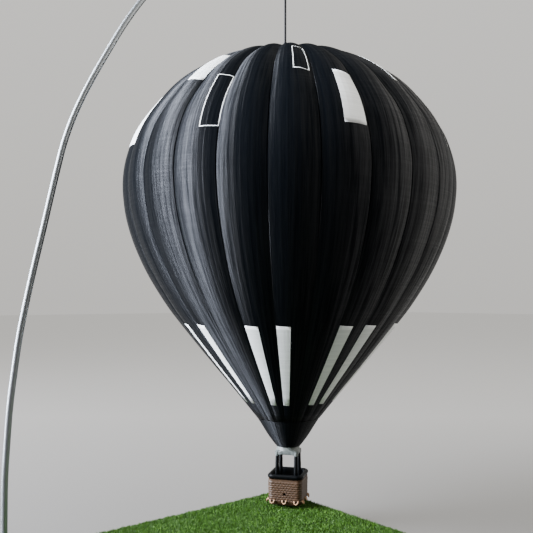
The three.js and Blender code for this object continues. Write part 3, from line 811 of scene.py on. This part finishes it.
bm = bmesh.new()
gore_sheet(bm, CREST[0][1], CREST[-1][1], 0, GORES, 0)
bmesh.ops.solidify(bm, geom=bm.faces[:], thickness=SHELL_WALL)
envelope = make(bm, "envelope_shell", black_pla, ["envelope"], equator_place)
layer_map(envelope.data)

# Crown cap
# A small black printed disc glued on the crown, with a rounded edge, and the eye for the thread
# standing on it.
CAP_PROFILE = [(0, 290.6), (9, 290.6), (9, 291.8), (8.7, 292.3), (8.2, 292.5), (0, 292.5)]

bm = bmesh.new()
turned(bm, CAP_PROFILE, TURNED_SIDES)
cap = make(bm, "crown_disc", black_pla, ["crown_cap"], axis_place, sharp=30)
layer_map(cap.data)
bm = bmesh.new()
eye_ring = ring_line(THREAD_PLACE + UP * EYE_HEIGHT, EYE_RING, rod_way, 40)
sweep(bm, eye_ring, EYE_WIRE, THREAD_SIDES, closed=True)
bmesh.ops.recalc_face_normals(bm, faces=bm.faces)
eye = make(bm, "crown_eye", black_pla, sharp=60)
layer_map(eye.data)

# White stripes and panels
# White PLA printed flush into the black gores: pairs of long stripes on the lower part, each from a
# valley to its gore's crest, and two bands of panels and outlines above, from a crest to a valley.
# The fourth low panel stands higher than the others, as in the photo.
SKIN_OFF = 0.06
SKIN_THICK = 0.1
OUTLINE_WIDTH = 0.42
STRIPE_SPAN = (0.02, 0.46)
HIGH_FRAME_SPAN = (0.5, 0.91)
HIGH_PANEL_SPAN = (0.5, 0.975)
LOW_PANEL_SPAN = (0.46, 0.945)
LOW_FRAME_SPAN = (0.6, 1.0)
STRIPE_BAND = (-82, -129)
HIGH_BAND = (68, 48.6)
HIGH_PANEL_BAND = (69.3, 50.1)
LOW_BAND = (48.4, 17.4)
LOW_PANEL_RISES = (0, 0, 0, 3.4)

white_pla, tree = new_material("white_PLA_printed_satin")
layers, bump = printed_layers(tree, LAYER_SWELLS, 0.15, 0.04)
whites = colour_ramp(tree, layers.outputs[0], "#DADDDC", "#EAECEB", 0.3, 0.7)
principled(
    tree, {"Roughness": 0.42, "IOR": PLA_IOR}, {"Base Color": whites.outputs[0], "Normal": bump.outputs[0]}
)


def white_patch(node, band, gore, span, outline=False):
    """A thin white skin on a span of a gore's width, whole or as an outline."""
    bm = bmesh.new()
    gore_sheet(bm, *band, gore + span[0], span[1] - span[0], SKIN_OFF)
    if outline:
        middle = bm.faces[:]
        bmesh.ops.inset_region(
            bm, faces=middle, thickness=OUTLINE_WIDTH, use_boundary=True, use_even_offset=True
        )
        bmesh.ops.delete(bm, geom=middle, context="FACES")
    bmesh.ops.solidify(bm, geom=bm.faces[:], thickness=-SKIN_THICK)
    make(bm, f"white_{node}", white_pla, [node], equator_place)


# Two gores in three have a stripe.
count = 0
for gore in range(GORES):
    if gore % 3 != 2:
        count += 1
        white_patch(f"lower_stripe_{count:02d}", STRIPE_BAND, gore, STRIPE_SPAN)
for k in range(4):
    white_patch(f"high_frame_{k + 1}", HIGH_BAND, 6 * k + 1, HIGH_FRAME_SPAN, outline=True)
    white_patch(f"high_panel_{k + 1}", HIGH_PANEL_BAND, 6 * k + 4, HIGH_PANEL_SPAN)
    low_band = [z + LOW_PANEL_RISES[k] for z in LOW_BAND]
    white_patch(f"low_panel_{k + 1}", low_band, 6 * k + 2, LOW_PANEL_SPAN)
    white_patch(f"low_frame_{k + 1}", LOW_BAND, 6 * k + 5, LOW_FRAME_SPAN, outline=True)

# Mouth cone
# A separate black print pushed up against the envelope's lower edge, slightly bulged, with narrow
# upright flats, and open below.
CONE_LINE = [(19.2, -140.3), (16.5, -144.5), (13.4, -149.6), (9.9, -154.6), (7.4, -157.7)]
CONE_WALL = 1.4
CONE_FLATS = 48

bm = bmesh.new()
cone_outside = [(p.x, p.y) for p in smooth_line(CONE_LINE, 3)]
cone_inside = [(r - CONE_WALL, z) for r, z in reversed(CONE_LINE)]
turned(bm, [*cone_outside, *cone_inside], CONE_FLATS, closed=True)
cone = make(bm, "mouth_cone_print", black_pla, ["mouth_cone"], equator_place, sharp=7)
layer_map(cone.data)

# Burner collar
# A white print under the mouth: nearly round at its neck and square below, with a boss over each
# post. Its lower edge arches up a little between the bosses.
GONDOLA_TURN = 7.5
COLLAR_TURN = 3
COLLAR_POINTS = 96
COLLAR_SIDE = 14.2
COLLAR_CORNER = 2.4
COLLAR_NECK_SIDE = 14
COLLAR_NECK_CORNER = 6.6
COLLAR_HOLE = 5.4
COLLAR_TOP = 49.2
COLLAR_NECK = 47.6
COLLAR_SHOULDER = 46.4
COLLAR_BOTTOM = 44.4
COLLAR_ARCH = 0.3
COLLAR_TOP_EDGE = 0.2
COLLAR_LOW_EDGE = 0.25
BOSS_RADIUS = 1.45
BOSS_END = 44
POST_TOP_HALF = 5.75
CORNERS = [(1, -1), (1, 1), (-1, 1), (-1, -1)]
gondola_place = balloon_place @ Matrix.Rotation(math.radians(GONDOLA_TURN), 4, "Z")
collar_turn = Matrix.Rotation(math.radians(COLLAR_TURN), 4, "Z")
collar_place = gondola_place @ collar_turn


def rounded_square(side, corner, angle):
    """Distance from the middle of a square with rounded corners to its edge, at an angle."""
    half = side / 2
    fold = abs((angle + math.pi / 4) % (math.pi / 2) - math.pi / 4)
    inner = half - corner
    if half * math.tan(fold) <= inner:
        return half / math.cos(fold)
    off = inner * (math.cos(fold) - math.sin(fold))
    return inner * (math.cos(fold) + math.sin(fold)) + math.sqrt(corner**2 - off**2)


def loft(bm, levels, points, closed=False):
    """Stacks rings about the Z axis. Each level tells an angle's distance out and height."""
    ring = bmesh.ops.create_circle(bm, segments=points, radius=1)["verts"]
    edges = list({edge for vert in ring for edge in vert.link_edges})
    first = edges
    for number, level in enumerate(levels):
        if number:
            grown = bmesh.ops.extrude_edge_only(bm, edges=edges)["geom"]
            ring = [g for g in grown if isinstance(g, bmesh.types.BMVert)]
            edges = [g for g in grown if isinstance(g, bmesh.types.BMEdge) and g.is_boundary]
        for vert in ring:
            angle = math.atan2(vert.co.y, vert.co.x)
            reach, height = level(angle)
            vert.co = (reach * math.cos(angle), reach * math.sin(angle), height)
    if closed:
        bmesh.ops.bridge_loops(bm, edges=first + edges)
    else:
        bmesh.ops.contextual_create(bm, geom=first)
        bmesh.ops.contextual_create(bm, geom=edges)
    bmesh.ops.recalc_face_normals(bm, faces=bm.faces)


def collar_flare(share):
    """A level of the collar between its round neck and its square shoulder."""
    side = COLLAR_NECK_SIDE + (COLLAR_SIDE - COLLAR_NECK_SIDE) * share
    corner = COLLAR_NECK_CORNER + (COLLAR_CORNER - COLLAR_NECK_CORNER) * share**1.5
    height = COLLAR_NECK + (COLLAR_SHOULDER - COLLAR_NECK) * share
    return lambda angle: (rounded_square(side, corner, angle), height)


def collar_arch(angle):
    """Height of the collar's lower edge."""
    return COLLAR_BOTTOM + COLLAR_ARCH * abs(math.cos(2 * angle))


# White PLA, printed rough. Its base is a mid grey, far darker than white plastic: this scene's window
# light reaches the small low parts more strongly than the photo's, so it is fitted to the photo.
# The collar's grey is painted shade: the whole white print is darkened as if shaded under the balloon.
rough_white_pla, tree = new_material("white_PLA_printed_rough")
coords = add_node(tree, "ShaderNodeTexCoord")
smear = add_node(tree, "ShaderNodeTexNoise", {"Scale": 0.5 / MM, "Detail": 2}, {0: coords.outputs["Object"]})
shaded_greys = colour_ramp(tree, smear.outputs[0], "#3A3F3D", "#606562", 0.35, 0.65)
bump = add_bump(tree, smear.outputs[0], 0.5, 0.2)
principled(
    tree, {"Roughness": 0.5, "IOR": PLA_IOR}, {"Base Color": shaded_greys.outputs[0], "Normal": bump.outputs[0]}
)


def eased_neck(angle):
    """The collar's top face at its outer edge, which is eased."""
    side = COLLAR_NECK_SIDE - 2 * COLLAR_TOP_EDGE
    return rounded_square(side, COLLAR_NECK_CORNER - COLLAR_TOP_EDGE, angle), COLLAR_TOP


def side_foot(angle):
    """The foot of the collar's side, over its eased lower edge."""
    return rounded_square(COLLAR_SIDE, COLLAR_CORNER, angle), collar_arch(angle) + COLLAR_LOW_EDGE


def eased_foot(angle):
    """The collar's lower face at its outer edge, which is eased."""
    side = COLLAR_SIDE - 2 * COLLAR_LOW_EDGE
    return rounded_square(side, COLLAR_CORNER - COLLAR_LOW_EDGE, angle), collar_arch(angle)


bm = bmesh.new()
loft(
    bm,
    [
        lambda angle: (COLLAR_HOLE, COLLAR_TOP),
        eased_neck,
        lambda angle: (rounded_square(COLLAR_NECK_SIDE, COLLAR_NECK_CORNER, angle), COLLAR_TOP - 0.3),
        *(collar_flare(share / 5) for share in range(6)),
        side_foot,
        eased_foot,
        lambda angle: (COLLAR_HOLE, collar_arch(angle)),
    ],
    COLLAR_POINTS,
    closed=True,
)
for x, y in CORNERS:
    boss = Matrix.Translation((x * POST_TOP_HALF, y * POST_TOP_HALF, (BOSS_END + COLLAR_SHOULDER) / 2))
    bmesh.ops.create_cone(
        bm,
        cap_ends=True,
        segments=32,
        radius1=BOSS_RADIUS,
        radius2=BOSS_RADIUS,
        depth=COLLAR_SHOULDER - BOSS_END,
        matrix=boss,
    )
make(bm, "white_collar", rough_white_pla, ["burner_collar"], collar_place, sharp=40)

# Posts
# Four black printed posts, each a little thinner at its top, that lean from the liner's floor to the
# collar's bosses.
POST_TOP_RADIUS = 1.1
POST_FOOT_RADIUS = 1.3
POST_FOOT_HALF = 6
POST_FOOT = 17.4
POST_TOP = 43.9
POST_EDGE = 0.15

# Black PLA on small parts. Its specular level is fitted to the photo like the collar's base, and lies
# far under the plastic's own.
black_small, tree = new_material("black_PLA_printed_fine")
SMALL_LAYER_SWELLS = 60
layers, bump = printed_layers(tree, SMALL_LAYER_SWELLS, 0.2, 0.05)
worn = remap(tree, layers.outputs[0], 0.35, 0.65, 0.3, 0.42)
principled(
    tree,
    {"Base Color": linear("#050607"), "IOR": PLA_IOR, "Specular IOR Level": 0.06},
    {"Roughness": worn.outputs[0], "Normal": bump.outputs[0]},
)

for k, (x, y) in enumerate(CORNERS):
    foot = Vector((x * POST_FOOT_HALF, y * POST_FOOT_HALF, POST_FOOT))
    head = collar_turn @ Vector((x * POST_TOP_HALF, y * POST_TOP_HALF, POST_TOP))
    bm = bmesh.new()
    bmesh.ops.create_cone(
        bm,
        cap_ends=True,
        segments=32,
        radius1=POST_FOOT_RADIUS,
        radius2=POST_TOP_RADIUS,
        depth=(head - foot).length,
    )
    rims = [edge for edge in bm.edges if abs(edge.verts[0].co.z - edge.verts[1].co.z) < 0.01]
    bmesh.ops.bevel(
        bm, geom=rims, affect="EDGES", offset=POST_EDGE, segments=2, profile=0.5, material=-1
    )
    tilt = (head - foot).to_track_quat("Z", "Y").to_matrix().to_4x4()
    upright = Matrix.Translation((foot + head) / 2) @ tilt
    post_place = gondola_place @ upright
    make(bm, f"black_post_{k + 1}", black_small, [f"post_{k + 1}"], post_place, sharp=40)

# Basket shell
# A brown printed tub with rounded corners and foot, its sides raised in rows of woven strands.
# The front has a small peep hole, and three little rope loops hang low on each side.
BASKET_BOTTOM = 14.4
BASKET_TOP = 30.2
BASKET_SIDE_TOP = 21.5
BASKET_SIDE_BOTTOM = 21
BASKET_CORNER = 3.2
BASKET_FOOT = 2.2
BASKET_WALL = 1.2
BASKET_FLOOR = 15.8
BASKET_POINTS = 192
STRAND_PITCH = 1.36
STRAND_RELIEF = 0.2
STAKES = 36
WEAVE_RELIEF = 0.07
STRAND_STEPS = 6
STRAND_FULLNESS = 0.6
PEEP_DIAMETER = 1.7
PEEP_HEIGHT = 21.5
PEEP_DRILL = 3

# Wood-brown PLA with small level flecks and a dull sheen. The browns are fitted to the photo like the
# collar's base, and are probably darker than the plastic.
# The browns are the plastic's own colour, darkened further by painted shade as on the collar: the whole
# basket is darkened as if shaded under the balloon.
brown_pla, tree = new_material("brown_PLA_printed_woven")
FLECK = 1.6
coords = add_node(tree, "ShaderNodeTexCoord")
squash = add_node(
    tree,
    "ShaderNodeMapping",
    {"Scale": (1 / (FLECK * MM), 1 / (FLECK * MM), 2.5 / (FLECK * MM))},
    {0: coords.outputs["Object"]},
)
flecks = add_node(tree, "ShaderNodeTexNoise", {"Scale": 1, "Detail": 3}, {0: squash.outputs[0]})
shaded_browns = colour_ramp(tree, flecks.outputs[0], "#2A1C0F", "#3C2918", 0.3, 0.7)
bump = add_bump(tree, flecks.outputs[0], 0.2, 0.08)
principled(
    tree,
    {"Roughness": 0.5, "IOR": PLA_IOR, "Specular IOR Level": 0.3},
    {"Base Color": shaded_browns.outputs[0], "Normal": bump.outputs[0]},
)


def basket_reach(angle, height, inset):
    """Distance from the axis to the basket's side, less an inset."""
    share = (height - BASKET_BOTTOM) / (BASKET_TOP - BASKET_BOTTOM)
    side = BASKET_SIDE_BOTTOM + (BASKET_SIDE_TOP - BASKET_SIDE_BOTTOM) * share - 2 * inset
    return rounded_square(side, BASKET_CORNER - 0.8 * inset, angle)


def basket_level(height, inset):
    """A plain level of the basket."""
    return lambda angle: (basket_reach(angle, height, inset), height)


def woven_level(height):
    """A level in the strands, which pass before and behind the stakes by turns."""
    row = (height - BASKET_BOTTOM - BASKET_FOOT) / STRAND_PITCH

    def level(angle):
        strand = abs(math.sin(math.pi * row)) ** STRAND_FULLNESS
        over = math.cos(STAKES * angle) * (1 if int(row) % 2 else -1)
        relief = STRAND_RELIEF * strand + WEAVE_RELIEF * over * strand
        return basket_reach(angle, height, STRAND_RELIEF - relief), height

    return level


bm = bmesh.new()
foot_levels = [
    basket_level(
        BASKET_BOTTOM + BASKET_FOOT * (1 - math.cos(turn)),
        STRAND_RELIEF + BASKET_FOOT * (1 - math.sin(turn)),
    )
    for turn in (math.pi / 2 * k / 5 for k in range(5))
]
strand_rows = int((BASKET_TOP - BASKET_BOTTOM - BASKET_FOOT) / STRAND_PITCH)
woven_levels = [
    woven_level(BASKET_BOTTOM + BASKET_FOOT + k * STRAND_PITCH / STRAND_STEPS)
    for k in range(strand_rows * STRAND_STEPS + 1)
]
loft(
    bm,
    [
        *foot_levels,
        *woven_levels,
        basket_level(BASKET_TOP, STRAND_RELIEF),
        basket_level(BASKET_TOP, BASKET_WALL),
        basket_level(BASKET_FLOOR, BASKET_WALL),
    ],
    BASKET_POINTS,
)
basket = make(bm, "basket_tub", brown_pla, ["basket_shell"], gondola_place, sharp=50)

bm = bmesh.new()
peep_middle = Matrix.Translation((0, -BASKET_SIDE_TOP / 2, PEEP_HEIGHT))
peep_place = peep_middle @ Matrix.Rotation(math.pi / 2, 4, "X")
bmesh.ops.create_cone(
    bm,
    cap_ends=True,
    segments=24,
    radius1=PEEP_DIAMETER / 2,
    radius2=PEEP_DIAMETER / 2,
    depth=PEEP_DRILL,
    matrix=Matrix.Scale(MM, 4) @ gondola_place @ peep_place,
)
drill_mesh = bpy.data.meshes.new("drill")
bm.to_mesh(drill_mesh)
bm.free()
drill = bpy.data.objects.new("drill", drill_mesh)
bpy.context.collection.objects.link(drill)
drilled = basket.modifiers.new("peep_hole", "BOOLEAN")
drilled.object = drill
drilled.solver = "EXACT"
bpy.context.view_layer.update()
holed = bpy.data.meshes.new_from_object(basket.evaluated_get(bpy.context.evaluated_depsgraph_get()))
basket.modifiers.clear()
basket.data = holed
bpy.data.objects.remove(drill)

# Rope loops
# Short loops of light twine, three to a side, whose ends go into the basket low down.
LOOP_STEP = 7.4
LOOP_HEIGHT = 17.2
LOOP_HALF = 1.2
LOOP_DROP = 1.1
LOOP_OUT = 0.95
LOOP_WIRE = 0.4
LOOP_YARNS = 2
LOOP_TWIST_RATE = 9.0

# Taken as waxed jute, a guess: the loops could be moulded. The tans are fitted to the photo too.
twine, tree = new_material("jute_twine_waxed")
height = twisted_yarns(tree, LOOP_YARNS, LOOP_TWIST_RATE)
bump = add_bump(tree, height.outputs[0], 0.6, 0.1)
# Painted shade: the tans darken into the grooves between the yarns, and the whole loop is darker than the
# twine's own tan, as on the basket.
groove_shaded_tans = colour_ramp(tree, height.outputs[0], "#6E4F38", "#A8835F")
principled(tree, {"Roughness": 0.6}, {"Base Color": groove_shaded_tans.outputs[0], "Normal": bump.outputs[0]})

bm = bmesh.new()
wall = -BASKET_SIDE_BOTTOM / 2
loop_points = [
    Vector((-LOOP_HALF, wall + 0.5, 0.5)),
    Vector((-LOOP_HALF, wall - 0.3, 0.55)),
    Vector((-0.85 * LOOP_HALF, wall - 0.8 * LOOP_OUT, -0.2 * LOOP_DROP)),
    Vector((0, wall - LOOP_OUT, -LOOP_DROP)),
    Vector((0.85 * LOOP_HALF, wall - 0.8 * LOOP_OUT, -0.2 * LOOP_DROP)),
    Vector((LOOP_HALF, wall - 0.3, 0.55)),
    Vector((LOOP_HALF, wall + 0.5, 0.5)),
]
for quarter in range(4):
    turn = Matrix.Rotation(quarter * math.pi / 2, 3, "Z")
    for step in (-LOOP_STEP, 0, LOOP_STEP):
        hung = [turn @ (p + Vector((step, 0, LOOP_HEIGHT))) for p in loop_points]
        sweep(bm, smooth_line(hung, 5), LOOP_WIRE, 10)
bmesh.ops.recalc_face_normals(bm, faces=bm.faces)
make(bm, "rope_loops", twine, (), gondola_place, sharp=60)

# Basket liner
# A thin black tub inside the basket. Its thick rounded rim rests on the basket's top edge.
LINER_FLOOR_LOW = 16.1
LINER_FLOOR_TOP = 17.1
LINER_INSET = 1.5
LINER_WALL = 0.9
RIM_HEIGHT = 31.9
RIM_HALF_WIDTH = 1.2
RIM_HALF_HEIGHT = 1.35
RIM_SIDE = 19.8
RIM_CORNER = 2.9
RIM_STEPS = 14
RIM_START = -95
RIM_SWEEP = 265


def rim_level(turn):
    """A level round the rim's oval section, from under its outer side over to its inner side."""
    out = RIM_HALF_WIDTH * math.cos(turn)
    return lambda angle: (
        rounded_square(RIM_SIDE + 2 * out, RIM_CORNER + out, angle),
        RIM_HEIGHT + RIM_HALF_HEIGHT * math.sin(turn),
    )


bm = bmesh.new()
loft(
    bm,
    [
        basket_level(LINER_FLOOR_LOW, LINER_INSET),
        basket_level(BASKET_TOP - 0.1, LINER_INSET),
        *(rim_level(math.radians(RIM_START + RIM_SWEEP * k / RIM_STEPS)) for k in range(RIM_STEPS + 1)),
        basket_level(RIM_HEIGHT - 0.6, LINER_INSET + LINER_WALL),
        basket_level(LINER_FLOOR_TOP, LINER_INSET + LINER_WALL),
    ],
    BASKET_POINTS,
)
make(bm, "black_liner", black_small, ["basket_liner"], gondola_place, sharp=40)

# Finish
# The view layer is brought up to date.
bpy.context.view_layer.update()
